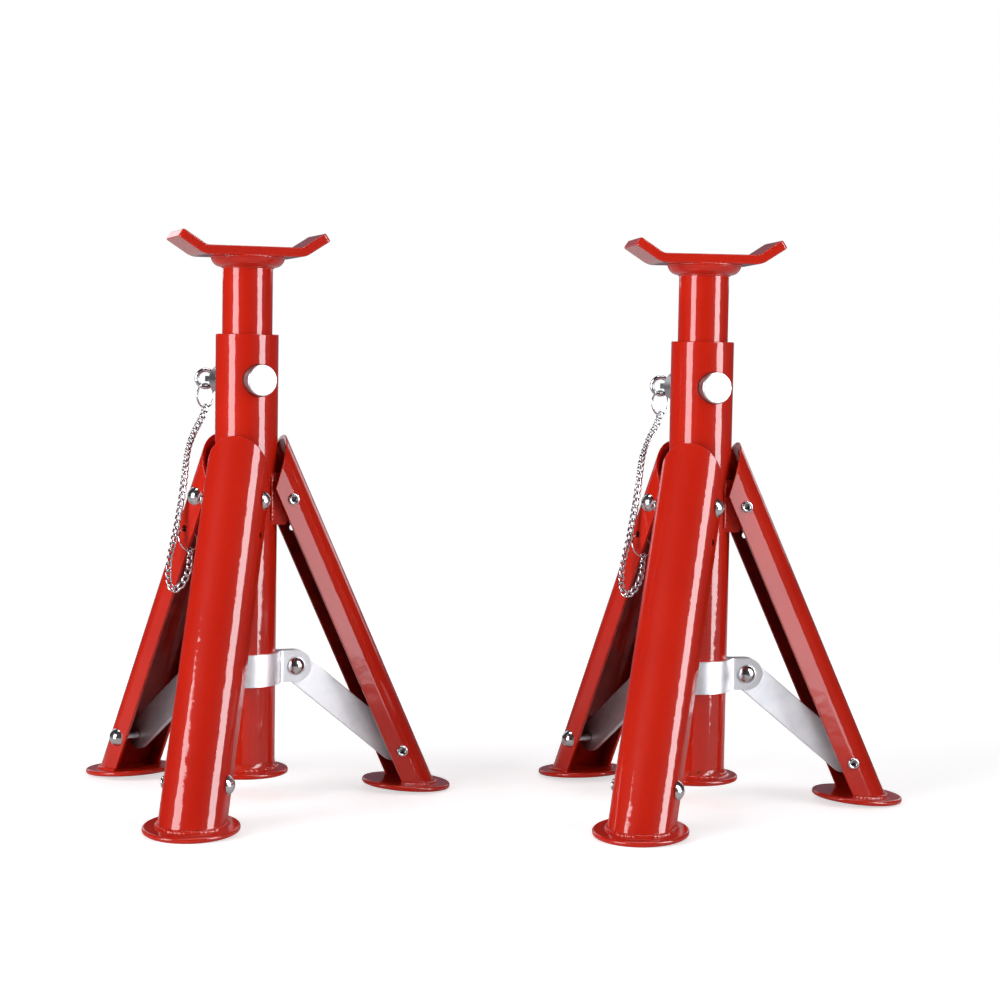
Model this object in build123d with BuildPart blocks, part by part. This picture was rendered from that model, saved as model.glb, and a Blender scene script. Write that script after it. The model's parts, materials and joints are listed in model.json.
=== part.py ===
"""A pair of folding tripod axle stands.

Each stand is a steel column tube on three folding channel legs.  The legs hinge on brackets near
the top of the column and are tied to a sliding collar by flat braces, so they fold together like
the ribs of an umbrella.  A smaller tube with a saddle slides in the column and rests on a locking
pin, which hangs on a chain from one leg.

Units are millimetres.  +Z is up and the floor is Z = 0.  A stand is built with its column axis on
the Z axis, then both stands are set side by side along X.
"""
from math import asin, cos, degrees, hypot, radians, sin, sqrt
import os

from build123d import *

# ---- column and post ----
column_od = 33.7
post_od = 26.9
tube_wall = 2.6
column_top = 251.6
column_foot_bottom = 13.6
column_foot_radius = 24.2
column_foot_fillet = 4.4
plate_thickness = 2.8          # foot discs and column foot
tube_rim_round = 0.4
sheet_edge_round = 0.4         # cut edges of the legs, brackets and braces
post_bottom = 52.0

# ---- saddle ----
saddle_top = 298.0
saddle_thickness = 5.0
saddle_width = 38.0
saddle_crease = 25.8           # half length of the flat
saddle_wing = 15.0             # length of a wing past its crease
saddle_wing_angle = 33.0
saddle_turn = 12.6             # how far the saddle is turned on its post, degrees
saddle_bend_radius = 5.0
saddle_corner_round = 2.0
saddle_edge_round = 0.8
cup_height = 5.6
cup_radius = 19.8
cup_neck_wall = 0.9

# ---- height holes and locking pin ----
pin_height = 227.0
pin_diameter = 17.0
pin_hole = 17.6
hole_pitch = 25.0
hole_count = 7
pin_azimuth = 114.0            # direction of the pin's tail
pin_front = 20.9               # column axis to the pin's front face
pin_shoulder = 32.0            # where the tail starts to taper
pin_taper_end = 41.0
pin_tip_diameter = 9.0
pin_tang_length = 7.0
pin_tang_thickness = 3.0
pin_tang_root = 1.0            # how far the tang runs into the tail
pin_tang_play = 0.5            # tang hole past the ring's wire
pin_front_round = 1.0

# ---- legs ----
leg_azimuths = {"front": -106.0, "right": 14.0, "left": 134.0}
leg_spacing = 120.0
leg_angle = 24.3               # lean from vertical when open
leg_width = 33.7
leg_crown = 12.6               # height of the rounded web over its straight flanges
leg_sheet = 2.0
leg_web_start = 0.56           # rivet axis to where the web starts to curve
leg_flange = 7.4               # straight flange below the start of the curve
leg_flange_top = 9.3           # rivet axis up to where the flanges' cut edge starts
leg_tongue_top = 32.2          # rivet axis up to the top of the web
hinge_radius = 22.25           # column axis to a leg's rivet axis
brace_drop = 153.4             # hinge rivet to brace rivet, along the leg
foot_drop = 176.8              # hinge rivet to the foot disc's centre, along the leg
foot_inset = 1.9
foot_radius = 24.7
foot_toe = 4.0                 # the open foot's outer edge sits lower by this angle, degrees
foot_edge = 1.2
anchor_drop = 19.5             # hinge rivet to the chain's small hole
anchor_hole_radius = 1.8

# ---- hinge brackets ----
bracket_sheet = 2.5
bracket_width = 25.8
bracket_web = 2.0
bracket_drop = 14.0
bracket_stop_rise = 14.0       # the ears' top corners stop the opening leg
bracket_stop_radius = 22.15
bracket_ear_radius = 5.5

# ---- rivets ----
rivet_radius = 2.5
rivet_clearance = 0.05
rivet_head_radius = 5.05
rivet_head_height = 3.2
rivet_roll_radius = 3.15
rivet_roll_height = 1.2
rivet_bore = 1.45
rivet_gap = 0.1                # head or rolled end to the sheet it holds

# ---- collar and braces ----
collar_height = 71.2
collar_band = 17.4             # height of the band
collar_sheet = 2.0
collar_clearance = 0.1
collar_bend = 3.0              # outside bend from the band into an ear
collar_rivet_radius = 28.1     # column axis to an ear's rivet
brace_thickness = 3.0
brace_half_width = 8.15
brace_gap = 0.1
brace_open_hole = 6.7          # the opened pivot: wide hole round the ear's rivet

# ---- chain and rings ----
link_pitch = 4.0
link_wire = 1.1
link_width = 3.9
link_slack = 0.25
pin_ring_radius = 4.8
pin_ring_wire = 2.4
split_ring_radius = 6.6
split_ring_wire = 1.0
anchor_ring_radius = 6.2
anchor_ring_swing = 41.0       # how far it leans towards the flange's edge, degrees
split_ring_turn = 48.0
ring_play = 0.2
chain_path = [                 # from the split ring down past the left leg and up to its ring
    (-22.0, 40.0, 209.5),
    (-27.5, 33.0, 200.0),
    (-31.8, 22.0, 188.0),
    (-33.4, 12.0, 172.0),
    (-35.5, 7.0, 156.0),
    (-38.5, 6.0, 139.6),
    (-41.4, 5.5, 124.0),
    (-38.7, 4.0, 111.0),
    (-33.4, 3.0, 116.5),
    (-31.2, 3.4, 130.0),
]

# ---- the pair ----
stand_pitch = 245.5
stand_turn = 6.1               # each stand is turned this much towards the middle

# ---- derived ----
column_radius = column_od / 2
post_radius = post_od / 2
leg_lean = radians(leg_angle)
foot_tilt = leg_angle + foot_toe
foot_low = (foot_radius - foot_edge) * sin(radians(foot_toe)) + foot_edge * (1 - cos(radians(foot_toe)))
hinge_height = foot_low + foot_drop * cos(leg_lean) + foot_inset * sin(leg_lean)
flange_edge = leg_flange - leg_web_start
web_top = leg_web_start + leg_crown
brace_foot_radius = hinge_radius + brace_drop * sin(leg_lean)
brace_foot_height = hinge_height - brace_drop * cos(leg_lean)
brace_length = sqrt((brace_foot_radius - collar_rivet_radius) ** 2 + (collar_height - brace_foot_height) ** 2)
brace_tilt = degrees(asin((brace_foot_radius - collar_rivet_radius) / brace_length))
ear_inner = brace_thickness / 2 + brace_gap
ear_outer = ear_inner + collar_sheet
cup_bottom = saddle_top - saddle_thickness - cup_height
cup_neck = post_radius + cup_neck_wall
pin_axis = Vector(cos(radians(pin_azimuth)), sin(radians(pin_azimuth)), 0)


def azimuth(angle):
    """The frame of one leg: X points outward from the column, Z is up."""
    return Location((0, 0, 0), (0, 0, angle))


def leg_frame(angle):
    """Origin on the hinge rivet, X outward through the web, Z up along the leg."""
    return azimuth(angle) * Location((hinge_radius, 0, hinge_height), (0, -leg_angle, 0))


def column_tube():
    with BuildPart() as tube:
        with BuildSketch(Plane.XY.offset(column_foot_bottom + plate_thickness)):
            Circle(column_radius)
            Circle(column_radius - tube_wall, mode=Mode.SUBTRACT)
        extrude(amount=column_top - column_foot_bottom - plate_thickness)
        pin_plane = Plane(origin=(0, 0, pin_height), z_dir=pin_axis)
        with BuildSketch(pin_plane):
            Circle(pin_hole / 2)
        extrude(amount=column_od, both=True, mode=Mode.SUBTRACT)
        top_rims = tube.edges().filter_by(GeomType.CIRCLE).group_by(Axis.Z)[-1]
        fillet(top_rims, tube_rim_round)
    return tube.part


def column_foot():
    """A disc with a hollow fillet up to the tube, which stands on it."""
    top = column_foot_bottom + plate_thickness
    flare = column_radius + column_foot_fillet
    with BuildPart() as foot:
        with BuildSketch(Plane.XY.offset(column_foot_bottom)):
            Circle(column_foot_radius)
        extrude(amount=plate_thickness)
        rims = foot.edges().filter_by(GeomType.CIRCLE)
        fillet(rims, foot_edge)
        with BuildSketch(Plane.XZ):
            with BuildLine():
                Line((column_radius, top), (flare, top))
                RadiusArc((flare, top), (column_radius, top + column_foot_fillet), column_foot_fillet)
                Line((column_radius, top + column_foot_fillet), (column_radius, top))
            make_face()
        revolve(axis=Axis.Z)
    return foot.part


def hinge_bracket():
    """A U of bent plate: two ears carry a leg's rivet, and their backs are welded to the column."""
    inner = bracket_width / 2 - bracket_sheet
    with BuildPart() as bracket:
        for side in (-1, 1):
            with BuildSketch(Plane.XZ.offset(-side * inner)):
                with BuildLine():
                    Polyline(
                        (column_radius / 2, hinge_height - bracket_drop),
                        (column_radius + bracket_web, hinge_height - bracket_drop),
                        (bracket_stop_radius, hinge_height + bracket_stop_rise),
                        (column_radius / 2, hinge_height + bracket_stop_rise),
                        close=True,
                    )
                    CenterArc((hinge_radius, hinge_height), bracket_ear_radius, 0, 360)
                make_hull()
            extrude(amount=-side * bracket_sheet)
        with BuildSketch(Plane.XY.offset(hinge_height - bracket_drop)):
            with Locations((column_radius + bracket_web / 2, 0)):
                Rectangle(bracket_web, bracket_width)
        extrude(amount=bracket_drop + bracket_stop_rise)
        with Locations((0, 0, hinge_height)):
            Cylinder(column_radius, 4 * bracket_drop, mode=Mode.SUBTRACT)
        with BuildSketch(Plane.XZ):
            with Locations((hinge_radius, hinge_height)):
                Circle(rivet_radius + rivet_clearance)
        extrude(amount=bracket_width, both=True, mode=Mode.SUBTRACT)
        ear_edges = bracket.edges().filter_by(lambda edge: edge.center().X > column_radius + bracket_web / 2)
        fillet(ear_edges, sheet_edge_round)
    return bracket.part


def rivet(grip):
    """A semi-tubular rivet along Z, centred on its grip: dome head up, rolled end down."""
    head = grip / 2 + rivet_gap
    tail = -grip / 2 - rivet_gap
    dome = (rivet_head_radius ** 2 + rivet_head_height ** 2) / (2 * rivet_head_height)
    with BuildPart() as part:
        with BuildSketch(Plane.XZ):
            with BuildLine():
                Line((0, tail), (0, head + rivet_head_height))
                RadiusArc((0, head + rivet_head_height), (rivet_head_radius, head), dome)
                Line((rivet_head_radius, head), (rivet_radius, head))
                Line((rivet_radius, head), (rivet_radius, tail))
                Line((rivet_radius, tail), (0, tail))
            make_face()
            with BuildLine():
                Line((rivet_bore, tail), (rivet_roll_radius, tail))
                ThreePointArc(
                    (rivet_roll_radius, tail),
                    ((rivet_bore + rivet_roll_radius) / 2, tail - rivet_roll_height),
                    (rivet_bore, tail),
                )
            make_face()
            with Locations((rivet_bore / 2, tail + rivet_roll_height)):
                Rectangle(rivet_bore, 2 * rivet_roll_height, mode=Mode.SUBTRACT)
        revolve(axis=Axis.Z)
    return part.part


def across(piece):
    """Turns a piece built along Z so that it lies across a leg, along Y."""
    return Location((0, 0, 0), (-90, 0, 0)) * piece


def leg_channel():
    """Rounded-web channel: the flanges are cut away obliquely at the top and flat on the foot."""
    foot_slope = radians(foot_tilt)
    foot_top = (
        -foot_inset + plate_thickness * sin(foot_slope),
        -foot_drop + plate_thickness * cos(foot_slope),
    )
    reach = 3 * foot_radius
    across_foot = (reach * cos(foot_slope), -reach * sin(foot_slope))
    top_slope = (leg_tongue_top - leg_flange_top) / (web_top + flange_edge)
    half = leg_width / 2
    with BuildPart() as leg:
        with BuildSketch(Plane.XY.offset(-foot_drop - foot_radius)):
            with BuildLine():
                Line((-flange_edge, -half), (leg_web_start, -half))
                EllipticalCenterArc((leg_web_start, 0), leg_crown, half, -90, arc_size=180)
                Line((leg_web_start, half), (-flange_edge, half))
                Line((-flange_edge, half), (-flange_edge, half - leg_sheet))
                Line((-flange_edge, half - leg_sheet), (leg_web_start, half - leg_sheet))
                EllipticalCenterArc(
                    (leg_web_start, 0), leg_crown - leg_sheet, half - leg_sheet, -90, arc_size=180
                )
                Line((leg_web_start, leg_sheet - half), (-flange_edge, leg_sheet - half))
                Line((-flange_edge, leg_sheet - half), (-flange_edge, -half))
            make_face()
        extrude(amount=foot_drop + foot_radius + 2 * leg_tongue_top)
        with BuildSketch(Plane.XZ):
            Polygon(
                (-leg_width, leg_flange_top - (leg_width - flange_edge) * top_slope),
                (leg_width, leg_flange_top + (leg_width + flange_edge) * top_slope),
                (leg_width, 3 * leg_tongue_top),
                (-leg_width, 3 * leg_tongue_top),
                align=None,
            )
            Polygon(
                (foot_top[0] - across_foot[0], foot_top[1] - across_foot[1]),
                (foot_top[0] + across_foot[0], foot_top[1] + across_foot[1]),
                (foot_top[0] + across_foot[0], foot_top[1] - 2 * reach),
                (foot_top[0] - across_foot[0], foot_top[1] - 2 * reach),
                align=None,
            )
        extrude(amount=leg_width, both=True, mode=Mode.SUBTRACT)
        with BuildSketch(Plane.XZ):
            with Locations((0, 0), (0, -brace_drop)):
                Circle(rivet_radius + rivet_clearance)
        extrude(amount=leg_width, both=True, mode=Mode.SUBTRACT)
        with BuildSketch(Plane.XZ):
            with Locations((0, -anchor_drop)):
                Circle(anchor_hole_radius)
        extrude(amount=-leg_width, mode=Mode.SUBTRACT)
        flange_edges = leg.edges().filter_by(Axis.Z).group_by(Axis.X)[0]
        top_edges = leg.faces().sort_by(Axis.Z)[-1].edges()
        fillet(flange_edges + top_edges, sheet_edge_round)
    return leg.part


def foot_disc():
    with BuildPart() as foot:
        with BuildSketch():
            Circle(foot_radius)
        extrude(amount=plate_thickness)
        fillet(foot.edges().filter_by(GeomType.CIRCLE), foot_edge)
    return Location((-foot_inset, 0, -foot_drop), (0, foot_tilt, 0)) * foot.part


def brace():
    """Flat strap from the leg's rivet (origin) up to the collar: its X axis runs to the collar."""
    with BuildPart() as strap:
        with BuildSketch(Plane.XZ):
            with Locations((brace_length / 2, 0)):
                SlotCenterToCenter(brace_length, 2 * brace_half_width)
            Circle(rivet_radius + rivet_clearance, mode=Mode.SUBTRACT)
            with Locations((brace_length, 0)):
                Circle(brace_open_hole, mode=Mode.SUBTRACT)
        extrude(amount=brace_thickness / 2, both=True)
        fillet(strap.faces().filter_by(Axis.Y).edges(), sheet_edge_round)
    return Location((brace_foot_radius, 0, brace_foot_height), (0, 270 - brace_tilt, 0)) * strap.part


def collar_segment():
    """One third of the collar: a band on the column with an ear beside the brace at each end."""
    inner = column_radius + collar_clearance
    outer = inner + collar_sheet
    low = collar_height - collar_band / 2
    with BuildPart() as segment:
        with BuildSketch(Plane.XY.offset(low)):
            Circle(outer)
            Circle(inner, mode=Mode.SUBTRACT)
            with BuildLine():
                Polyline(
                    (0, 0),
                    *[
                        (2 * outer * cos(radians(turn)), 2 * outer * sin(radians(turn)))
                        for turn in (0, leg_spacing / 2, leg_spacing)
                    ],
                    close=True,
                )
            make_face(mode=Mode.INTERSECT)
        extrude(amount=collar_band)
        for turn, side in ((0, 1), (leg_spacing, -1)):
            ear_plane = Plane.XZ.rotated((0, 0, turn))
            near = -side * ear_inner
            with BuildSketch(ear_plane.offset(near)):
                with Locations(((inner + collar_rivet_radius) / 2, collar_height)):
                    Rectangle(collar_rivet_radius - inner, collar_band)
                with Locations((collar_rivet_radius, collar_height)):
                    Circle(collar_band / 2)
            extrude(amount=-side * collar_sheet)
            with BuildSketch(ear_plane):
                with Locations((collar_rivet_radius, collar_height)):
                    Circle(rivet_radius + rivet_clearance)
            extrude(amount=-side * 2 * ear_outer, mode=Mode.SUBTRACT)
            with BuildSketch(ear_plane):
                with Locations((column_radius, collar_height)):
                    Rectangle(column_od, 2 * collar_band)
            extrude(amount=-side * ear_inner, mode=Mode.SUBTRACT)
        upright = segment.edges().filter_by(Axis.Z)
        reaches = [hypot(edge.center().X, edge.center().Y) for edge in upright]
        bends = [edge for edge, reach in zip(upright, reaches) if abs(reach - outer) < collar_clearance]
        fillet(bends, collar_bend)
    return segment.part


def post_tube():
    with BuildPart() as post:
        with BuildSketch(Plane.XY.offset(post_bottom)):
            Circle(post_radius)
            Circle(post_radius - tube_wall, mode=Mode.SUBTRACT)
        extrude(amount=saddle_top - saddle_thickness - post_bottom)
        for level in range(hole_count):
            hole_centre = (0, 0, pin_height - level * hole_pitch)
            hole_plane = Plane(origin=hole_centre, z_dir=pin_axis)
            with BuildSketch(hole_plane):
                Circle(pin_hole / 2)
            extrude(amount=post_od, both=True, mode=Mode.SUBTRACT)
        bottom_rims = post.edges().filter_by(GeomType.CIRCLE).group_by(Axis.Z)[0]
        fillet(bottom_rims, tube_rim_round)
    return post.part


def saddle_cup():
    top = cup_bottom + cup_height
    with BuildPart() as cup:
        with BuildSketch(Plane.XZ):
            with BuildLine():
                Line((post_radius, cup_bottom), (post_radius, top))
                Line((post_radius, top), (cup_radius, top))
                EllipticalCenterArc(
                    (cup_neck, top), cup_radius - cup_neck, cup_height, -90, arc_size=90
                )
                Line((cup_neck, cup_bottom), (post_radius, cup_bottom))
            make_face()
        revolve(axis=Axis.Z)
    return cup.part


def saddle_plate():
    """Flat plate with both ends bent up into wings."""
    wing = (
        saddle_crease + saddle_wing * cos(radians(saddle_wing_angle)),
        saddle_wing * sin(radians(saddle_wing_angle)),
    )
    with BuildPart() as saddle:
        with BuildSketch(Plane.XZ.offset(-saddle_width / 2)):
            with BuildLine():
                FilletPolyline(
                    (-wing[0], saddle_top + wing[1]),
                    (-saddle_crease, saddle_top),
                    (saddle_crease, saddle_top),
                    (wing[0], saddle_top + wing[1]),
                    radius=saddle_bend_radius,
                )
                offset(amount=saddle_thickness, side=Side.RIGHT)
            make_face()
        extrude(amount=saddle_width)
        ends = saddle.faces().sort_by(Axis.X)
        corners = (ends[0].edges() + ends[-1].edges()).filter_by(Axis.Y, reverse=True)
        fillet(corners, saddle_corner_round)
        fillet(saddle.edges(), saddle_edge_round)
    return azimuth(saddle_turn) * saddle.part


def locking_pin():
    """Round bar along its own Z towards the tail, with a tapered tail and a flat drilled tang."""
    tang_middle = pin_taper_end + pin_tang_length / 2
    with BuildPart() as pin:
        with BuildSketch(Plane.XZ):
            with BuildLine():
                Polyline(
                    (0, -pin_front),
                    (pin_diameter / 2, -pin_front),
                    (pin_diameter / 2, pin_shoulder),
                    (pin_tip_diameter / 2, pin_taper_end),
                    (0, pin_taper_end),
                    close=True,
                )
            make_face()
        revolve(axis=Axis.Z)
        front_rim = pin.edges().filter_by(GeomType.CIRCLE).sort_by(Axis.Z)[0]
        fillet(front_rim, pin_front_round)
        with BuildSketch(Plane.XZ.offset(-pin_tang_thickness / 2)):
            with Locations((0, tang_middle - pin_tang_root)):
                Rectangle(pin_tip_diameter - pin_tang_root, pin_tang_length + 2 * pin_tang_root)
            with Locations((0, tang_middle)):
                Circle(pin_ring_wire / 2 + pin_tang_play, mode=Mode.SUBTRACT)
        extrude(amount=pin_tang_thickness)
    return pin.part


def ring(radius, wire):
    with BuildPart() as hoop:
        Torus(radius, wire / 2)
    return hoop.part


def chain_link():
    """An oval wire link in the XY plane, its length along X."""
    bend = (link_width - link_wire) / 2
    half = (link_pitch + link_slack + link_wire) / 2 - bend
    with BuildPart() as link:
        with BuildLine() as loop:
            Line((-half, bend), (half, bend))
            ThreePointArc((half, bend), (half + bend, 0), (half, -bend))
            Line((half, -bend), (-half, -bend))
            ThreePointArc((-half, -bend), (-half - bend, 0), (-half, bend))
        with BuildSketch(Plane(origin=(0, bend, 0), z_dir=(1, 0, 0))):
            Circle(link_wire / 2)
        sweep(path=loop.wire())
    return link.part


def pin_ring():
    """Thick ring that faces the front, its right side threaded through the pin's tang."""
    hole = Vector(0, 0, pin_height) + pin_axis * (pin_taper_end + pin_tang_length / 2)
    centre = hole - Vector(pin_ring_radius, 0, 0)
    return Plane(origin=centre, z_dir=(0, -1, 0)).location * ring(pin_ring_radius, pin_ring_wire)


def split_ring():
    """Thin ring that hangs from the lowest point of the pin's ring, turned part way across it."""
    hole = Vector(0, 0, pin_height) + pin_axis * (pin_taper_end + pin_tang_length / 2)
    drop = pin_ring_radius + split_ring_radius - (pin_ring_wire + split_ring_wire) / 2 - ring_play
    centre = hole - Vector(pin_ring_radius, 0, drop)
    facing = Vector(0, -1, 0).rotate(Axis.Z, split_ring_turn)
    return Plane(origin=centre, z_dir=facing).location * ring(split_ring_radius, split_ring_wire)


def anchor_ring():
    """Thin ring through the small hole in the left leg, closed round the flange's edge."""
    swing = radians(anchor_ring_swing)
    centre = Vector(
        -anchor_ring_radius * sin(swing),
        leg_width / 2 - leg_sheet / 2,
        -anchor_drop - anchor_ring_radius * cos(swing),
    )
    hoop = Plane(origin=centre, x_dir=(0, 1, 0), z_dir=(cos(swing), 0, -sin(swing)))
    return leg_frame(leg_azimuths["left"]) * hoop.location * ring(anchor_ring_radius, split_ring_wire)


def chain():
    """Links along a hanging path, each turned a quarter turn from the last."""
    with BuildLine() as path:
        Spline(*chain_path)
    link = chain_link()
    curve = path.wire()
    count = int(curve.length / link_pitch)
    links = []
    for index in range(count):
        place = (index + 0.5) / count
        along = curve.tangent_at(place)
        flat = Vector(0, 1, 0).cross(along).normalized()
        level = along.cross(flat)
        facing = flat + level if index % 2 else flat - level
        links.append(Plane(origin=curve.position_at(place), x_dir=along, z_dir=facing).location * link)
    return links


def stand_pieces():
    """Every piece of one stand, by name, with the column axis on the Z axis."""
    pieces = {
        "column_tube": [column_tube()],
        "column_foot": [column_foot()],
        "post_tube": [post_tube()],
        "saddle_cup": [saddle_cup()],
        "saddle_plate": [saddle_plate()],
    }
    bracket = hinge_bracket()
    hinge_rivet = across(rivet(leg_width))
    leg = leg_channel()
    foot = foot_disc()
    strap = brace()
    segment = collar_segment()
    ear_rivet = Location((0, 0, 0), (180, 0, 0)) * across(rivet(2 * ear_outer))
    on_ear = Location((collar_rivet_radius, 0, collar_height))

    pieces["hinge_brackets"] = [azimuth(a) * bracket for a in leg_azimuths.values()]
    pieces["hinge_rivets"] = [leg_frame(a) * hinge_rivet for a in leg_azimuths.values()]
    pieces["collar_bands"] = [azimuth(a) * segment for a in leg_azimuths.values()]
    pieces["collar_rivets"] = [azimuth(a) * on_ear * ear_rivet for a in leg_azimuths.values()]
    for name, angle in leg_azimuths.items():
        frame = leg_frame(angle)
        pieces["leg_" + name] = [frame * leg]
        pieces["foot_" + name] = [frame * foot]
        pieces["brace_rivet_" + name] = [frame * Location((0, 0, -brace_drop)) * hinge_rivet]
        pieces["brace_" + name] = [azimuth(angle) * strap]

    pieces["locking_pin"] = [Plane(origin=(0, 0, pin_height), z_dir=pin_axis).location * locking_pin()]
    pieces["pin_ring"] = [pin_ring()]
    pieces["split_ring"] = [split_ring()]
    pieces["chain"] = chain()
    pieces["anchor_ring"] = [anchor_ring()]
    return pieces


def main():
    """Sets the two stands side by side, centres the pair on the origin and writes every piece."""
    one = {name: Compound(solids) for name, solids in stand_pieces().items()}
    pair = {}
    for number, side in ((1, -1), (2, 1)):
        place = Location((side * stand_pitch / 2, 0, 0), (0, 0, -side * stand_turn))
        for name, piece in one.items():
            pair[f"stand{number}_{name}"] = place * piece
    box = Compound(list(pair.values())).bounding_box()
    centred = Location((-box.center().X, -box.center().Y, -box.min.Z))
    os.makedirs("parts", exist_ok=True)
    for name, piece in pair.items():
        node = centred * piece
        node.label = name
        export_step(node, f"parts/{name}.step")


main()
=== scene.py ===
"""Looks for a pair of folding axle stands: enamel, plating, weld beads, chains, floor and light.

The CAD frame stays as packed.  This script gives its nodes their finishes and adds the pieces that
are easier as meshes: the weld beads, and a curb chain that hangs between the locking pin, the
column and the left leg.  Lengths are in metres, in the frame's own axes.
"""
import json
import math
import random

import bmesh
import bpy
from mathutils import Matrix, Vector, geometry, noise

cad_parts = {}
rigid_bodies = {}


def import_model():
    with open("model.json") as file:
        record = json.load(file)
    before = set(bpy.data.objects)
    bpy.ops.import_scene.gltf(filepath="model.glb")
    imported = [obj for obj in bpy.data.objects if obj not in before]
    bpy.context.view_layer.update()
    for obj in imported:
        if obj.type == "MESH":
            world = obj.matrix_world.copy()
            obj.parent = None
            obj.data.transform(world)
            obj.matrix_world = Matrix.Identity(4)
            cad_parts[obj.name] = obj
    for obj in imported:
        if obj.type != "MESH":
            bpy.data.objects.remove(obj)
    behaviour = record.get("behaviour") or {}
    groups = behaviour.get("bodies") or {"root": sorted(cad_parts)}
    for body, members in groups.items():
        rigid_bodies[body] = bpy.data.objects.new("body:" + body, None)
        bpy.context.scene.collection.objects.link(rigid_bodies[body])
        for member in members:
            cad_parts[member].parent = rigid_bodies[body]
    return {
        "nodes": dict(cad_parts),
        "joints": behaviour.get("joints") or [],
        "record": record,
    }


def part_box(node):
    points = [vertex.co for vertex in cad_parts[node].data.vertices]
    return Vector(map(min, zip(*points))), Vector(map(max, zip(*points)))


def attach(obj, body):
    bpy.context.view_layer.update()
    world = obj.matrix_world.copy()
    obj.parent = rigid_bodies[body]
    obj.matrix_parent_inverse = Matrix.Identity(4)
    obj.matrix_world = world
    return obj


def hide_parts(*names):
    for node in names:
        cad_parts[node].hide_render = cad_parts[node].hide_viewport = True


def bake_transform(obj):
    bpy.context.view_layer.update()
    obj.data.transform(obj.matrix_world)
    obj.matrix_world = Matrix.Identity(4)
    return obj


MM = 0.001
STANDS = ("stand1", "stand2")
LEGS = ("front", "right", "left")
UP = Vector((0, 0, 1))
OCCLUSION_SAMPLES = 6          # rays for each reading of a hollow or an edge

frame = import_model()
nodes = frame["nodes"]
joints = {joint["name"]: joint for joint in frame["joints"]}
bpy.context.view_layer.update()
dice = random.Random(7)


# ---- node trees ----

class Shader:
    """Short calls that build one material's node tree."""

    def __init__(self, name, owner=None):
        self.owner = owner or bpy.data.materials.new(name)
        self.owner.use_nodes = True
        self.tree = self.owner.node_tree
        self.tree.nodes.clear()

    def add(self, kind, inputs=None, **settings):
        node = self.tree.nodes.new("ShaderNode" + kind)
        for key, value in settings.items():
            setattr(node, key, value)
        for key, value in (inputs or {}).items():
            self.feed(node.inputs[key], value)
        return node

    def feed(self, socket, value):
        if isinstance(value, bpy.types.NodeSocket):
            self.tree.links.new(value, socket)
        else:
            socket.default_value = value

    def math(self, operation, first, second=0.0):
        return self.add("Math", {0: first, 1: second}, operation=operation).outputs[0]

    def vector(self, operation, first, second=(0, 0, 0)):
        return self.add("VectorMath", {0: first, 1: second}, operation=operation)

    def place(self):
        return self.add("TexCoord").outputs["Object"]

    def noise(self, size, detail=2.0, roughness=0.5, stretch=(1, 1, 1), shift=0.0):
        """Noise whose lumps are about `size` metres across, in the frame's own coordinates."""
        spot = self.add("Mapping", {"Vector": self.place(), "Scale": stretch, "Location": (shift,) * 3})
        inputs = {"Vector": spot.outputs[0], "Scale": 1 / size, "Detail": detail, "Roughness": roughness}
        return self.add("TexNoise", inputs).outputs[0]

    def ramp(self, value, low, high, start=0.0, end=1.0):
        """Smooth step from start to end as value goes from low to high."""
        inputs = {"Value": value, "From Min": low, "From Max": high, "To Min": start, "To Max": end}
        return self.add("MapRange", inputs, interpolation_type="SMOOTHSTEP").outputs[0]

    def blend(self, share, first, second):
        """Colour `first` where share is 0 and `second` where it is 1."""
        mix = self.add("Mix", {"Factor": share}, data_type="RGBA")
        self.feed(mix.inputs[6], first)
        self.feed(mix.inputs[7], second)
        return mix.outputs[2]

    def hollow(self, reach, inside=False, local=True):
        """1 in tight hollows (or along outer edges, with inside), 0 on open surfaces."""
        shade = self.add(
            "AmbientOcclusion", {"Distance": reach},
            samples=OCCLUSION_SAMPLES, inside=inside, only_local=local,
        )
        return self.math("SUBTRACT", 1.0, shade.outputs["AO"])

    def cells(self, size, output="Distance", **settings):
        """Voronoi cells about `size` metres across."""
        inputs = {"Vector": self.place(), "Scale": 1 / size}
        return self.add("TexVoronoi", inputs, **settings).outputs[output]

    def bump(self, height, depth, under=None):
        inputs = {"Height": height, "Distance": depth}
        if under is not None:
            inputs["Normal"] = under
        return self.add("Bump", inputs).outputs[0]

    def finish(self, **inputs):
        """Ends the tree in a principled surface; words in the input names are joined by underscores."""
        surface = self.add("BsdfPrincipled", {key.replace("_", " "): value for key, value in inputs.items()})
        self.end(surface.outputs[0])
        return self.owner

    def end(self, surface, kind="OutputMaterial"):
        self.tree.links.new(surface, self.add(kind).inputs["Surface"])


def rgb(red, green, blue):
    return (red, green, blue, 1.0)


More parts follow.
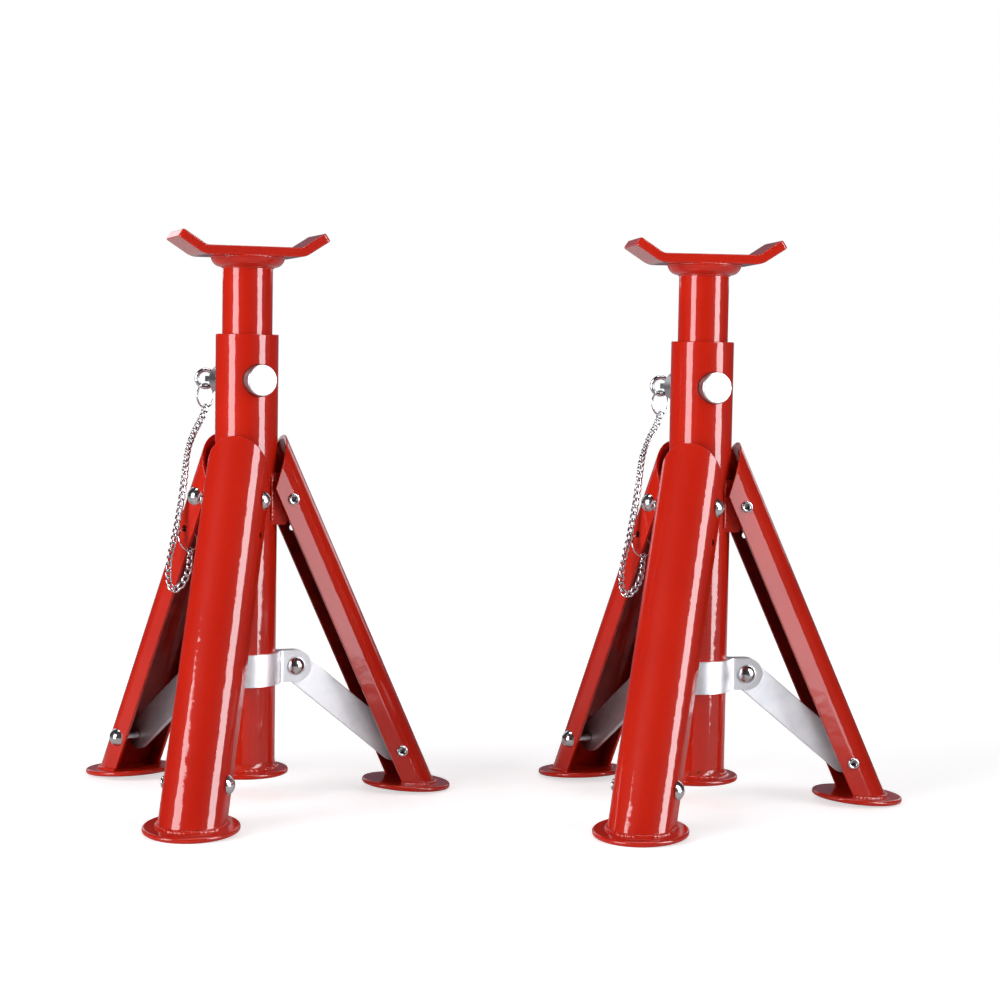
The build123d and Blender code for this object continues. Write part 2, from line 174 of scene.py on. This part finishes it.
def red_enamel():
    """Sprayed gloss enamel: orange peel, dust nibs, thin spray in hollows with painted shade that darkens
    them, small chips on edges.
    """
    s = Shader("red_gloss_enamel")
    drift = s.ramp(s.noise(55 * MM, 2), 0.35, 0.65)
    mottle = s.ramp(s.noise(1.6 * MM, 3), 0.3, 0.7)
    body = s.blend(drift, rgb(0.59, 0.0125, 0.0014), rgb(0.64, 0.0160, 0.0022))
    body = s.blend(s.math("MULTIPLY", mottle, 0.16), body, rgb(0.49, 0.010, 0.003))
    # painted shade: the colour goes near black in hollows and inside the channels, where shade falls; the
    # same mask also thins the coat and raises the roughness
    shade_and_spray = s.math("ADD", s.hollow(34 * MM), s.math("MULTIPLY", s.noise(9 * MM, 3, shift=4.0), 0.25))
    shaded_thin_paint = s.ramp(shade_and_spray, 0.30, 0.54)
    body = s.blend(s.math("MULTIPLY", shaded_thin_paint, 0.90), body, rgb(0.040, 0.003, 0.002))
    edge = s.ramp(s.hollow(0.9 * MM, inside=True), 0.30, 0.62)
    chip = s.math("MULTIPLY", edge, s.ramp(s.noise(2.6 * MM, 4, 0.6, shift=9.0), 0.60, 0.64))
    body = s.blend(s.math("MULTIPLY", edge, 0.25), body, rgb(0.66, 0.060, 0.030))
    body = s.blend(chip, body, rgb(0.075, 0.030, 0.026))
    nib = s.ramp(s.cells(7 * MM), 0.0, 0.045, 1.0, 0.0)
    peel = s.bump(s.noise(7.5 * MM, 1, 0.4, shift=2.0), 0.10 * MM)
    peel = s.bump(s.noise(2.1 * MM, 2, 0.5), 0.028 * MM, peel)
    skin = s.bump(nib, 0.05 * MM, peel)
    skin = s.bump(chip, -0.06 * MM, skin)
    rough = s.math("ADD", 0.45, s.math("MULTIPLY", shaded_thin_paint, 0.30))
    return s.finish(
        Base_Color=body, Roughness=rough, Specular_IOR_Level=0.08, Normal=peel,
        Coat_Weight=s.math("SUBTRACT", 1.0, s.math("MULTIPLY", s.math("MAXIMUM", chip, shaded_thin_paint), 0.75)),
        Coat_Roughness=s.ramp(mottle, 0.0, 1.0, 0.025, 0.055), Coat_IOR=1.5, Coat_Normal=skin,
    )


def zinc_plating():
    """Bright zinc on rolled strip: faint spangle, rolling marks, darker edges, and painted shade in hollows
    and under nearby parts.
    """
    s = Shader("bright_zinc_strip")
    spangle = s.add("SeparateColor", {0: s.cells(3.2 * MM, "Color")}).outputs[0]
    cloud = s.ramp(s.noise(12 * MM, 3, 0.6), 0.35, 0.68)
    body = s.blend(cloud, rgb(0.94, 0.95, 0.97), rgb(0.86, 0.88, 0.92))
    body = s.blend(s.math("MULTIPLY", spangle, 0.10), body, rgb(0.72, 0.75, 0.80))
    edge = s.ramp(s.hollow(0.8 * MM, inside=True), 0.30, 0.65)
    body = s.blend(s.math("MULTIPLY", edge, 0.45), body, rgb(0.34, 0.35, 0.37))
    # painted shade: near black where other parts crowd the strip, as inside the left legs' channels
    hollow_shade = s.ramp(s.hollow(22 * MM, local=False), 0.56, 0.84)
    body = s.blend(s.math("MULTIPLY", hollow_shade, 0.85), body, rgb(0.045, 0.05, 0.07))
    scratch = s.ramp(s.noise(0.5 * MM, 3, 0.6, stretch=(1, 1, 0.08)), 0.62, 0.70)
    rough = s.math("ADD", s.ramp(cloud, 0.0, 1.0, 0.36, 0.43), s.math("MULTIPLY", scratch, 0.08))
    skin = s.bump(s.noise(6 * MM, 2), 0.02 * MM)
    skin = s.bump(s.noise(0.35 * MM, 2, 0.6, stretch=(1, 1, 0.15)), 0.006 * MM, skin)
    skin = s.bump(scratch, -0.008 * MM, skin)
    return s.finish(Base_Color=body, Metallic=0.65, Roughness=rough, Normal=skin)


def nickel_rivet():
    """Polished nickel, with hammer flats from setting and a painted shadow as a dark ring where the head
    meets the sheet.
    """
    s = Shader("nickel_rivet")
    cloud = s.ramp(s.noise(2.4 * MM, 3, 0.6), 0.35, 0.65)
    body = s.blend(cloud, rgb(0.78, 0.77, 0.76), rgb(0.66, 0.66, 0.68))
    # painted shadow: a dark ring round the foot of the head; the same mask also raises the roughness there
    hollow_shade = s.ramp(s.hollow(2.2 * MM), 0.35, 0.75)
    body = s.blend(s.math("MULTIPLY", hollow_shade, 0.9), body, rgb(0.03, 0.03, 0.035))
    skin = s.bump(s.cells(2.2 * MM, feature="SMOOTH_F1"), 0.02 * MM)
    skin = s.bump(s.noise(0.4 * MM, 2), 0.006 * MM, skin)
    rough = s.math("ADD", s.ramp(cloud, 0.0, 1.0, 0.15, 0.24), s.math("MULTIPLY", hollow_shade, 0.3))
    return s.finish(Base_Color=body, Metallic=1.0, Roughness=rough, Normal=skin)


def plated_wire():
    """Bright plated wire: a faintly uneven skin, with painted shade in the crossings."""
    s = Shader("bright_plated_wire")
    cloud = s.ramp(s.noise(5 * MM, 3, 0.6), 0.35, 0.65)
    body = s.blend(cloud, rgb(0.82, 0.82, 0.84), rgb(0.68, 0.69, 0.72))
    # painted shade: near black where the links cross
    hollow_shade = s.ramp(s.hollow(1.5 * MM), 0.24, 0.66)
    body = s.blend(s.math("MULTIPLY", hollow_shade, 0.8), body, rgb(0.08, 0.08, 0.09))
    skin = s.bump(s.noise(0.6 * MM, 3, 0.6), 0.010 * MM)
    return s.finish(
        Base_Color=body, Metallic=1.0, Roughness=s.ramp(cloud, 0.0, 1.0, 0.05, 0.12), Normal=skin
    )


def turned_bar(name, centre, axis):
    """Bright bar turned in a lathe about the line through `centre` along `axis`.

    Fine rings run round the line on its ends and its flank, and the flank is painted darker than the ends,
    as painted shade.
    """
    s = Shader(name)
    arm = s.vector("SUBTRACT", s.place(), centre).outputs[0]
    across = s.vector("LENGTH", s.vector("CROSS_PRODUCT", arm, axis).outputs[0]).outputs["Value"]
    along = s.vector("DOT_PRODUCT", arm, axis).outputs["Value"]
    travel = s.math("ADD", across, along)
    groove = s.math("SINE", s.math("MULTIPLY", travel, math.tau / (0.30 * MM)))
    cloud = s.ramp(s.noise(6 * MM, 3, 0.6), 0.35, 0.65)
    body = s.blend(cloud, rgb(0.93, 0.93, 0.94), rgb(0.86, 0.87, 0.89))
    rim = s.ramp(s.hollow(0.9 * MM, inside=True), 0.25, 0.6)
    body = s.blend(s.math("MULTIPLY", rim, 0.3), body, rgb(0.45, 0.45, 0.47))
    # painted shade: the flank, side-on to the bar's axis, is painted darker than the ends
    lean = s.vector("DOT_PRODUCT", s.add("NewGeometry").outputs["Normal"], axis).outputs["Value"]
    flank = s.ramp(s.math("ABSOLUTE", lean), 0.35, 0.75, 1.0, 0.0)
    body = s.blend(s.math("MULTIPLY", flank, 0.60), body, rgb(0.22, 0.22, 0.24))
    rub = s.ramp(s.noise(0.8 * MM, 4, 0.65, shift=3.0), 0.60, 0.66)
    skin = s.bump(groove, 0.0010 * MM)
    skin = s.bump(rub, -0.004 * MM, skin)
    rough = s.math("ADD", s.ramp(cloud, 0.0, 1.0, 0.34, 0.38), s.math("MULTIPLY", rub, 0.10))
    return s.finish(Base_Color=body, Metallic=1.0, Roughness=rough, Normal=skin)


# ---- meshes ----

TUBE_SIDES = 12                # corners of a swept tube's section


def mesh_piece(name, mesh_data, material):
    """Puts a finished bmesh in the scene as a smooth piece with one material."""
    bmesh.ops.recalc_face_normals(mesh_data, faces=mesh_data.faces)
    mesh = bpy.data.meshes.new(name)
    mesh_data.to_mesh(mesh)
    mesh_data.free()
    mesh.shade_smooth()
    mesh.materials.append(material)
    piece = bpy.data.objects.new(name, mesh)
    bpy.context.scene.collection.objects.link(piece)
    return piece


def sweep_ring(mesh_data, centres, sides, reaches, closed):
    """A tube through centres: sides[i] and the path give ring i's plane, reaches[i] its radius."""
    rings = []
    for index, centre in enumerate(centres):
        ahead = centres[(index + 1) % len(centres)] if closed or index + 1 < len(centres) else centre
        behind = centres[index - 1] if closed or index else centre
        along = (ahead - behind).normalized()
        side = sides[index] - along * sides[index].dot(along)
        side.normalize()
        other = along.cross(side)
        ring = []
        for step in range(TUBE_SIDES):
            turn = math.tau * step / TUBE_SIDES
            spot = centre + (side * math.cos(turn) + other * math.sin(turn)) * reaches[index]
            ring.append(mesh_data.verts.new(spot))
        rings.append(ring)
    pairs = list(zip(rings, rings[1:]))
    if closed:
        pairs.append((rings[-1], rings[0]))
    for first, second in pairs:
        for step in range(TUBE_SIDES):
            after = (step + 1) % TUBE_SIDES
            mesh_data.faces.new((first[step], first[after], second[after], second[step]))
    if not closed:
        mesh_data.faces.new(rings[0])
        mesh_data.faces.new(rings[-1])


def spaced(points, step, closed):
    """Points about `step` apart along a line through points."""
    line = list(points) + ([points[0]] if closed else [])
    lengths = [0.0]
    for first, second in zip(line, line[1:]):
        lengths.append(lengths[-1] + (second - first).length)
    count = max(2, round(lengths[-1] / step))
    stops = [lengths[-1] * index / count for index in range(count + (0 if closed else 1))]
    result, part = [], 0
    for stop in stops:
        while part < len(lengths) - 2 and lengths[part + 1] < stop:
            part += 1
        share = (stop - lengths[part]) / max(lengths[part + 1] - lengths[part], 1e-9)
        result.append(line[part].lerp(line[part + 1], min(share, 1.0)))
    return result


def circle_points(centre, radius, count=96):
    turns = [math.tau * index / count for index in range(count)]
    return [centre + Vector((math.cos(turn), math.sin(turn), 0)) * radius for turn in turns]


def middle(node):
    low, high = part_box(node)
    return (low + high) / 2


def upright_axis(node):
    """The foot of the upright line through the middle of a node."""
    centre = middle(node)
    return Vector((centre.x, centre.y, 0))


def box_radius(node):
    """The radius of a node that is round about an upright line."""
    low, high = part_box(node)
    return (high.x - low.x) / 2


def outward_from(axis):
    """Gives the level direction away from the upright line through axis, at any point."""
    def out(point):
        away = point - axis
        return Vector((away.x, away.y, 0)).normalized()

    return out


# ---- weld beads ----

SEAM_REACH = 1.5 * MM          # radius of the legs' beads; those beside the brackets are thinner
SEAM_RIPPLE = 2.3 * MM         # from one ripple to the next
RIM_REACH = 0.8 * MM           # radius of the saddle's two beads
COLUMN_FILLET = 4.4 * MM       # radius of the fillet on the column's foot
COLUMN_SEAM_REACH = 2.2 * MM   # radius of the bead on the column's foot
COLUMN_RIPPLE = 3.2 * MM
SEAM_PROUD = 0.45 * MM         # how far the column's bead stands out of its fillet
OUTLINE_DEPTH = 0.02 * MM      # vertices this close to a leg's lowest level are its outline


def weld_bead(mesh_data, points, out, reach, closed=False, ripple=SEAM_RIPPLE):
    """A rippled bead along points; out(point) leans away from the corner that the bead fills."""
    step = ripple / 6
    centres = spaced(points, step, closed)
    reaches = []
    moved = []
    for index, centre in enumerate(centres):
        wave = abs(math.sin(math.pi * index * step / ripple))
        wander = noise.noise(centre / (4 * MM))
        end = 1.0 if closed else min(1.0, 0.45 + 0.25 * min(index, len(centres) - 1 - index))
        reaches.append(reach * end * (0.86 + 0.14 * wave + 0.10 * wander))
        moved.append(centre + out(centre) * reach * 0.12 * wander)
    sweep_ring(mesh_data, moved, [out(centre) for centre in moved], reaches, closed)


def leg_axes(stand, leg):
    """Hinge point, outward direction and sideways direction of a leg, level with the floor."""
    joint = joints[f"{stand}_leg_{leg}_fold"]
    hinge = Vector(joint["pos_m"])
    side = Vector(joint["axis"])
    return hinge, side.cross(UP), side


def foot_outline(stand, leg):
    """The leg's outer outline where it stands on its disc, and the disc's upward normal."""
    face = next(m for m in frame["record"]["mounts"] if m["name"] == f"{stand}_{leg}_foot_face")
    base, up = Vector(face["pos_m"]), -Vector(face["axis"])
    spots = [vertex.co for vertex in nodes[f"{stand}_leg_{leg}"].data.vertices]
    heights = [(spot - base).dot(up) for spot in spots]
    level = min(heights)
    flat = [spot for spot, height in zip(spots, heights) if height < level + OUTLINE_DEPTH]
    side = leg_axes(stand, leg)[2]
    ahead = side.cross(up)
    plane = [((spot - base).dot(side), (spot - base).dot(ahead)) for spot in flat]
    hull = [flat[index] for index in geometry.convex_hull_2d(plane)]
    gaps = [(hull[index] - hull[index - 1]).length for index in range(len(hull))]
    first = gaps.index(max(gaps))
    return hull[first:] + hull[:first], up


def leg_welds(material):
    """A bead round the outside of each leg, on its foot disc."""
    for stand in STANDS:
        for leg in LEGS:
            outline, up = foot_outline(stand, leg)
            heart = sum(outline, Vector()) / len(outline)

            def out(point):
                away = point - heart
                return ((away - up * away.dot(up)).normalized() + up).normalized()

            bead = bmesh.new()
            weld_bead(bead, outline, out, SEAM_REACH)
            piece = mesh_piece(f"{stand}_weld_foot_{leg}", bead, material)
            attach(piece, f"{stand}_leg_{leg}")


def column_welds(material):
    """The column's bead on its foot, and upright beads beside the hinge brackets."""
    for stand in STANDS:
        tube, foot = f"{stand}_column_tube", f"{stand}_column_foot"
        radius, axis = box_radius(tube), upright_axis(tube)
        out = outward_from(axis)
        inset = (COLUMN_FILLET + COLUMN_SEAM_REACH - SEAM_PROUD) / math.sqrt(2)
        seam_radius = radius + COLUMN_FILLET - inset
        seam_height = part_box(foot)[1].z - inset
        bead = bmesh.new()
        ring = circle_points(axis + UP * seam_height, seam_radius)
        weld_bead(bead, ring, out, COLUMN_SEAM_REACH, closed=True, ripple=COLUMN_RIPPLE)

        brackets = nodes[f"{stand}_hinge_brackets"].data.vertices
        bottom, top = (corner.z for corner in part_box(f"{stand}_hinge_brackets"))
        for leg in LEGS:
            ahead, side = leg_axes(stand, leg)[1:]
            near = [v.co - axis for v in brackets if (v.co - axis).dot(ahead) > radius]
            half = max(abs(spot.dot(side)) for spot in near)
            for turn in (-1, 1):
                corner = axis + side * half * turn + ahead * math.sqrt(radius ** 2 - half ** 2)
                line = [corner + UP * (bottom + SEAM_REACH), corner + UP * (top - SEAM_REACH)]
                weld_bead(bead, line, out, SEAM_REACH * 0.9)
        piece = mesh_piece(f"{stand}_weld_column", bead, material)
        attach(piece, f"{stand}_column")


def saddle_welds(material):
    """Thin beads where the cup meets the post and the saddle plate."""
    for stand in STANDS:
        cup, post = f"{stand}_saddle_cup", f"{stand}_post_tube"
        bottom, top = (corner.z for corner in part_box(cup))
        axis = upright_axis(cup)
        under_plate = (top - RIM_REACH / 4, box_radius(cup) - RIM_REACH / 3)
        on_post = (bottom, box_radius(post))
        bead = bmesh.new()
        for height, radius in (under_plate, on_post):
            ring = circle_points(axis + UP * height, radius)
            weld_bead(bead, ring, outward_from(axis), RIM_REACH, closed=True)
        piece = mesh_piece(f"{stand}_weld_saddle", bead, material)
        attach(piece, f"{stand}_post")


# ---- chains ----

LINK_WIRE = 1.1 * MM
LINK_WIDTH = 3.9 * MM
LINK_PITCH = 3.9 * MM
RING_WIRE = 1.0 * MM
LINK_TWIST = math.radians(46)  # each end of a link is turned this far from its middle
LINK_STEPS = 32                # rings in one link
LINK_GRIP = 0.06 * MM          # how much further a link reaches into its neighbour
HOOK = (LINK_WIRE + RING_WIRE) / 2  # between a link's wire and the ring's, where they touch
CHAIN_STEP = 1.0 * MM          # between the points of the chain's line
SMOOTHING_ROUNDS = 12


def link_middles(node):
    """The middle of every separate link of a CAD chain."""
    shape = bmesh.new()
    shape.from_mesh(nodes[node].data)
    bmesh.ops.remove_doubles(shape, verts=shape.verts, dist=0.002 * MM)
    waiting = set(shape.verts)
    middles = []
    while waiting:
        front = [waiting.pop()]
        low, high = Vector(front[0].co), Vector(front[0].co)
        while front:
            vertex = front.pop()
            low = Vector(map(min, low, vertex.co))
            high = Vector(map(max, high, vertex.co))
            for edge in vertex.link_edges:
                other = edge.other_vert(vertex)
                if other in waiting:
                    waiting.remove(other)
                    front.append(other)
        middles.append((low + high) / 2)
    shape.free()
    return middles


def chain_line(stand):
    """A smooth line from the split ring, through the CAD links, to the ring in the left leg."""
    low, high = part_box(f"{stand}_split_ring")
    top = Vector(((low.x + high.x) / 2, (low.y + high.y) / 2, low.z + RING_WIRE / 2 + HOOK))
    anchor = min((vertex.co for vertex in nodes[f"{stand}_anchor_ring"].data.vertices), key=lambda co: co.z)
    end = anchor + UP * (RING_WIRE / 2 + HOOK)
    left = link_middles(f"{stand}_chain")
    line = [top]
    while left:
        nearest = min(left, key=lambda spot: (spot - line[-1]).length)
        left.remove(nearest)
        line.append(nearest)
    line = spaced(line[:-1] + [end], CHAIN_STEP, closed=False)
    for _ in range(SMOOTHING_ROUNDS):
        inner = [(line[i - 1] + line[i] * 2 + line[i + 1]) / 4 for i in range(1, len(line) - 1)]
        line = [line[0]] + inner + [line[-1]]
    return line


def add_link(mesh_data, place, along, flat, reach):
    """A closed wire loop twisted like a curb link: flat is the way its middle faces."""
    wide = along.cross(flat).normalized()
    flat = wide.cross(along).normalized()
    half = (LINK_WIDTH - LINK_WIRE) / 2
    centres, sides = [], []
    for step in range(LINK_STEPS):
        turn = math.tau * step / LINK_STEPS
        ahead = math.cos(turn)
        long = math.copysign(abs(ahead) ** 0.85, ahead) * reach
        twist = LINK_TWIST * ahead
        across = wide * math.cos(twist) + flat * math.sin(twist)
        centres.append(place + along * long + across * math.sin(turn) * half)
        sides.append(flat * math.cos(twist) - wide * math.sin(twist))
    sweep_ring(mesh_data, centres, sides, [LINK_WIRE / 2] * LINK_STEPS, closed=True)


def chains(material):
    """Two pieces a stand: one hangs from the pin's ring, the other climbs to the ring in the leg."""
    for stand in STANDS:
        line = chain_line(stand)
        stops = spaced(line, LINK_PITCH, closed=False)
        links = [(stops[i] + stops[i + 1]) / 2 for i in range(len(stops) - 1)]
        bottom = min(range(len(links)), key=lambda index: links[index].z)
        upper, lower = bmesh.new(), bmesh.new()
        reach = (LINK_PITCH + LINK_WIRE) / 2 + LINK_GRIP
        swing = dice.uniform(0, math.tau)
        for index, place in enumerate(links):
            along = (stops[index + 1] - stops[index]).normalized()
            turn = 0.55 * math.sin(index * 0.35 + swing) + dice.uniform(-0.12, 0.12)
            flat = Matrix.Rotation(turn, 3, along) @ Vector((0.25, -1.0, 0.15))
            target = upper if index < bottom else lower
            add_link(target, place, along, flat, reach)
        top = mesh_piece(f"{stand}_chain_upper", upper, material)
        tail = mesh_piece(f"{stand}_chain_lower", lower, material)
        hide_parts(f"{stand}_chain")
        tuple(line[0])
        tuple(links[bottom])
        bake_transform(top)
        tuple(links[bottom])
        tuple(line[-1])
        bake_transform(tail)


# ---- finishes of the CAD nodes ----

def dress(node, material):
    nodes[node].data.materials.clear()
    nodes[node].data.materials.append(material)


def dress_frame():
    """Every CAD node takes the finish of its slot in the record; the pins are turned bar."""
    finishes = {
        "red_gloss_paint": red_enamel(),
        "zinc_plated_strip": zinc_plating(),
        "rivet_steel": nickel_rivet(),
        "bright_plated_steel": plated_wire(),
    }
    for part in frame["record"]["subparts"]:
        dress(part["node"], finishes[part["material_slot"]])
    for stand in STANDS:
        pin = f"{stand}_locking_pin"
        centre = upright_axis(f"{stand}_column_tube") + UP * middle(pin).z
        axis = Vector(joints[f"{stand}_pin_pull"]["axis"])
        dress(pin, turned_bar(f"{stand}_turned_bar", centre, axis))
    return finishes


# ---- studio ----

STAND_CENTRE = (middle("stand1_column_tube") + middle("stand2_column_tube")) / 2
CAMERA_DISTANCE = 1.1424       # in front of the columns
CAMERA_HEIGHT = 0.2389
CAMERA_LENS = 76.07            # mm, like the sensor's width
CAMERA_SENSOR = 36
CAMERA_YAW, CAMERA_PITCH, CAMERA_ROLL = (math.radians(angle) for angle in (0.74, -3.735, 0.95))
STRIP_DISTANCE = 3.0           # from the stands to the upright boxes of light
OVERHEAD_HEIGHT = 2.4
FLANGE_HIGH, FLANGE_LOW = 1.6, -0.36  # the first box in the glow on the right legs
FLANGE_STEPS = 10              # boxes in that glow
FLANGE_FALL = 0.024            # how far each box of the glow reaches below the one before
FLOOR_RADIUS = 1.0
FLOOR_GAP = 0.02 * MM          # keeps the floor's face just clear of the lowest foot
COOL = (0.95, 0.96, 1.0)
WHITE = (1.0, 1.0, 1.0)


def light_box(name, width, height, radiance, tint, mirrored):
    """A rectangle of light that the camera doesn't see.

    A mirrored one shows only in reflections; the others light the matt part of the surfaces.
    """
    lamp = bpy.data.lights.new(name, "AREA")
    lamp.shape = "RECTANGLE"
    lamp.size, lamp.size_y = width, height
    lamp.energy = radiance * math.pi * width * height
    lamp.color = tint
    box = bpy.data.objects.new(name, lamp)
    box.visible_camera = False
    box.visible_diffuse = not mirrored
    box.visible_glossy = mirrored
    bpy.context.scene.collection.objects.link(box)
    return box


def strip_light(name, azimuth, width, low, high, radiance, tint, lean=0.0, mirrored=True):
    """An upright box between two heights, at an azimuth that runs from the camera's side to the right.

    With lean, its top leans that many degrees clockwise as the stands see it.
    """
    box = light_box(name, width, high - low, radiance, tint, mirrored)
    turn = math.radians(azimuth)
    towards = Vector((math.sin(turn), -math.cos(turn), 0))
    box.location = Vector((STAND_CENTRE.x, STAND_CENTRE.y, (low + high) / 2)) + towards * STRIP_DISTANCE
    facing = towards.to_track_quat("Z", "Y").to_matrix()
    box.rotation_euler = (Matrix.Rotation(math.radians(lean), 3, towards) @ facing).to_euler()
    return box


def overhead_light(name, width, depth, radiance, mirrored):
    """A level box above the stands, which shines down."""
    box = light_box(name, width, depth, radiance, WHITE, mirrored)
    box.location = (STAND_CENTRE.x, STAND_CENTRE.y, OVERHEAD_HEIGHT)
    return box


def link_light(box, wanted):
    """Limits a light to the pieces whose names pass the test `wanted`."""
    lit = bpy.data.collections.new(f"{box.name}_lights")
    for piece in bpy.context.scene.objects:
        if piece.type == "MESH" and wanted(piece.name):
            lit.objects.link(piece)
    box.light_linking.receiver_collection = lit


def light_only(box, *endings):
    """Limits a light to the pieces whose names end in one of endings."""
    link_light(box, lambda name: name.endswith(endings))


def keep_off(box, *endings):
    """Keeps a light off the pieces whose names end in one of endings."""
    link_light(box, lambda name: not name.endswith(endings))


def flange_lights():
    """A soft glow on the right legs' flat flanges, from a stack of boxes that dim downwards."""
    high = FLANGE_HIGH
    for index in range(FLANGE_STEPS):
        low = FLANGE_LOW - FLANGE_FALL * index
        radiance = 4.3 * (1 - index / FLANGE_STEPS) ** 1.4
        box = strip_light(f"flange_box_{index}", 28, 1.8, low, high, radiance, COOL)
        light_only(box, "leg_right")
        high = low


def brace_lights():
    """Pale light, in reflections and on the matt part, for the braces that stand open to the camera."""
    for name, azimuth, radiance, mirrored in (("brace_box", 28, 1.2, True), ("brace_fill", -20, 2.4, False)):
        box = strip_light(name, azimuth, 1.8, -1.0, 1.6, radiance, COOL, mirrored=mirrored)
        light_only(box, "brace_right", "brace_front")


def studio_lights():
    """Tall boxes at both sides, dimmer ones behind and above, and some for single pieces.

    The left braces, inside their legs, are kept darker than the rest.
    """
    box = strip_light("strip_left", -52, 1.30, -0.35, 1.85, 9.4, COOL)
    keep_off(box, "brace_left")
    box = strip_light("strip_right", 58, 1.30, -0.35, 3.7, 11.5, COOL, lean=12.0)
    keep_off(box, "leg_right", "brace_left")
    strip_light("strip_back_left", -150, 1.1, 0.4, 2.6, 1.3, COOL)
    strip_light("strip_back_right", 150, 1.1, 0.4, 2.6, 1.3, COOL)
    for side, azimuth, radiance in (("left", -56, 5.9), ("right", 60, 3.3)):
        box = strip_light(f"fill_{side}", azimuth, 2.0, -0.4, 2.4, radiance, WHITE, mirrored=False)
        keep_off(box, "brace_left")
    strip_light("fill_back", 180, 3.0, 0.2, 2.6, 1.6, WHITE, mirrored=False)
    overhead_light("overhead_strip", 1.6, 0.5, 7.0, mirrored=True)
    box = overhead_light("fill_above", 2.2, 1.6, 0.9, mirrored=False)
    keep_off(box, "brace_left")
    flange_lights()
    brace_lights()


def studio_world():
    """White to the camera; for everything else dim all round, and pale below, as the floor is."""
    world = bpy.data.worlds.new("studio")
    bpy.context.scene.world = world
    s = Shader("studio", world)
    way = s.add("SeparateXYZ", {0: s.add("TexCoord").outputs["Generated"]})
    backdrop = s.ramp(way.outputs["Y"], 0.80, 0.97)
    glow = s.blend(backdrop, rgb(0.032, 0.032, 0.036), rgb(0.12, 0.11, 0.14))
    below = s.ramp(way.outputs["Z"], -0.16, -0.05, 1.0, 0.0)
    glow = s.blend(below, glow, rgb(0.42, 0.41, 0.42))
    seen = s.blend(s.add("LightPath").outputs["Is Camera Ray"], glow, rgb(1, 1, 1))
    s.end(s.add("Background", {"Color": seen}).outputs[0], "OutputWorld")


def floor_paper():
    """Pale paper that fades to white at the floor's rim for the camera, and is matt for the rest.

    Reflections see through its outer part, so that they reach the lower ends of the boxes of light.
    """
    s = Shader("pale_floor")
    ray = s.add("LightPath").outputs
    reach = s.vector("LENGTH", s.vector("MULTIPLY", s.place(), (1, 1, 0)).outputs[0]).outputs["Value"]
    speck = s.ramp(s.noise(30 * MM, 4), 0.3, 0.7)
    tone = s.blend(speck, rgb(0.78, 0.78, 0.79), rgb(0.82, 0.82, 0.83))
    matt = s.add("BsdfDiffuse", {"Color": tone}).outputs[0]
    fill = s.add("Emission", {"Color": rgb(1, 1, 1), "Strength": 0.62}).outputs[0]
    lit = s.add("AddShader", {0: matt, 1: fill}).outputs[0]
    white = s.add("Emission", {"Color": rgb(1, 1, 1), "Strength": 1.0}).outputs[0]
    far = s.ramp(reach, 0.45 * FLOOR_RADIUS, 0.9 * FLOOR_RADIUS)
    seen = s.add("MixShader", {0: far, 1: lit, 2: white}).outputs[0]
    surface = s.add("MixShader", {0: ray["Is Camera Ray"], 1: matt, 2: seen}).outputs[0]
    outer = s.ramp(reach, 0.20 * FLOOR_RADIUS, 0.60 * FLOOR_RADIUS)
    clear = s.add("BsdfTransparent").outputs[0]
    open_rim = s.math("MULTIPLY", ray["Is Glossy Ray"], outer)
    s.end(s.add("MixShader", {0: open_rim, 1: surface, 2: clear}).outputs[0])
    return s.owner


def pale_floor():
    """A round floor under the stands, which sinks when folded legs reach below it."""
    disc = bmesh.new()
    bmesh.ops.create_circle(disc, cap_ends=True, segments=128, radius=FLOOR_RADIUS)
    mesh = bpy.data.meshes.new("studio_floor")
    disc.to_mesh(mesh)
    disc.free()
    mesh.materials.append(floor_paper())
    floor = bpy.data.objects.new("studio_floor", mesh)
    floor.location = (STAND_CENTRE.x, STAND_CENTRE.y, -FLOOR_GAP)
    bpy.context.scene.collection.objects.link(floor)
    keep_below_feet(floor)


def keep_below_feet(floor):
    """Holds the floor under a mark on each foot, so that it never hides one."""
    for stand in STANDS:
        for leg in LEGS:
            foot = nodes[f"{stand}_foot_{leg}"].data.vertices
            mark = bpy.data.objects.new(f"{stand}_foot_mark_{leg}", None)
            mark.location = min((vertex.co for vertex in foot), key=lambda co: co.z)
            bpy.context.scene.collection.objects.link(mark)
            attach(mark, f"{stand}_leg_{leg}")
            limit = floor.constraints.new("FLOOR")
            limit.target = mark
            limit.floor_location = "FLOOR_NEGATIVE_Z"
            limit.offset = FLOOR_GAP


def studio_camera():
    data = bpy.data.cameras.new("camera")
    data.lens = CAMERA_LENS
    data.sensor_width = CAMERA_SENSOR
    camera = bpy.data.objects.new("camera", data)
    camera.location = (STAND_CENTRE.x, STAND_CENTRE.y - CAMERA_DISTANCE, CAMERA_HEIGHT)
    ahead = Vector((
        math.sin(CAMERA_YAW) * math.cos(CAMERA_PITCH),
        math.cos(CAMERA_YAW) * math.cos(CAMERA_PITCH),
        math.sin(CAMERA_PITCH),
    ))
    right = Matrix.Rotation(-CAMERA_ROLL, 3, ahead) @ ahead.cross(UP).normalized()
    above = right.cross(ahead)
    camera.rotation_euler = Matrix((right, above, -ahead)).transposed().to_euler()
    bpy.context.scene.collection.objects.link(camera)
    bpy.context.scene.camera = camera


# ---- build ----

finishes = dress_frame()
leg_welds(finishes["red_gloss_paint"])
column_welds(finishes["red_gloss_paint"])
saddle_welds(finishes["red_gloss_paint"])
chains(finishes["bright_plated_steel"])
pale_floor()
studio_lights()
studio_world()
studio_camera()
bpy.context.scene.view_settings.view_transform = "Standard"
